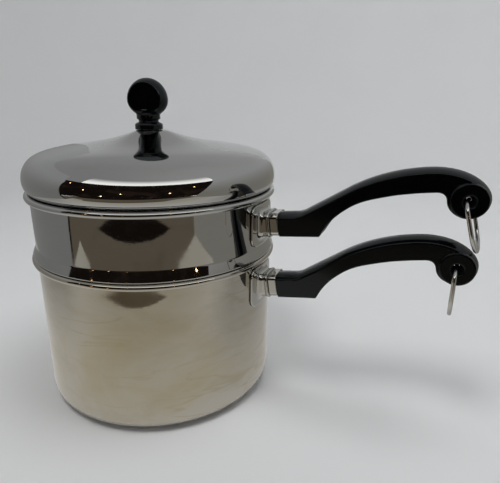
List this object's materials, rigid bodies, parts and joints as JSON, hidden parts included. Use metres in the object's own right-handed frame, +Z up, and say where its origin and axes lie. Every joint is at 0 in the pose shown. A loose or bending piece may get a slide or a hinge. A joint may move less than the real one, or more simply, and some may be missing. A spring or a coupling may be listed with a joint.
{
  "type": "saucepan",
  "caption": "Polished steel saucepan with a nesting insert pan and a domed lid, used as a double boiler; arched black handles with hanging rings and a black knob.",
  "frame": {"origin": "centre of the underside of the base, on the axis of the pans", "axes": "+Z up out of the pans, +X along the handles, away from the wall"},
  "size_m": [0.2919, 0.1664, 0.2131],
  "materials": {
    "polished_steel": "mirror-polished stainless sheet with fine wear",
    "satin_aluminium": "satin, heat-dulled",
    "black_phenolic": "moulded phenolic, soft gloss",
    "brass_bush": "plain turned",
    "bright_wire": "bright plated steel"
  },
  "bodies": {
    "saucepan": {"lower_pan_shell": "polished_steel", "lower_base_cladding": "satin_aluminium", "lower_bracket": "polished_steel", "lower_bracket_nut": "bright_wire", "lower_ferrule": "polished_steel", "lower_handle": "black_phenolic", "lower_handle_screw": "bright_wire", "lower_screw_washer": "bright_wire"},
    "insert_pan": {"upper_pan_shell": "polished_steel", "upper_bracket": "polished_steel", "upper_bracket_nut": "bright_wire", "upper_ferrule": "polished_steel", "upper_handle": "black_phenolic", "upper_handle_screw": "bright_wire", "upper_screw_washer": "bright_wire"},
    "lid": {"lid_dome": "polished_steel", "lid_knob": "black_phenolic", "knob_insert": "brass_bush", "knob_screw": "bright_wire", "knob_washer": "bright_wire"},
    "lower_ring": {"lower_hanging_ring": "bright_wire"},
    "upper_ring": {"upper_hanging_ring": "bright_wire"}
  },
  "joints": [
    {"name": "insert_lift", "type": "slide", "parent": "saucepan", "child": "insert_pan", "axis": [0, 0, 1], "range_m": [0, 0.09]},
    {"name": "lid_lift", "type": "slide", "parent": "insert_pan", "child": "lid", "axis": [0, 0, 1], "range_m": [0, 0.08]},
    {"name": "lower_ring_swing", "type": "hinge", "parent": "saucepan", "child": "lower_ring", "pos_m": [0.19699, 0, 0.11224], "axis": [-0.0872, -0.9962, 0], "range_deg": [-80, 70]},
    {"name": "upper_ring_swing", "type": "hinge", "parent": "insert_pan", "child": "upper_ring", "pos_m": [0.19781, 0, 0.15015], "axis": [-0.1908, -0.9816, 0], "range_deg": [0, 200]}
  ]
}
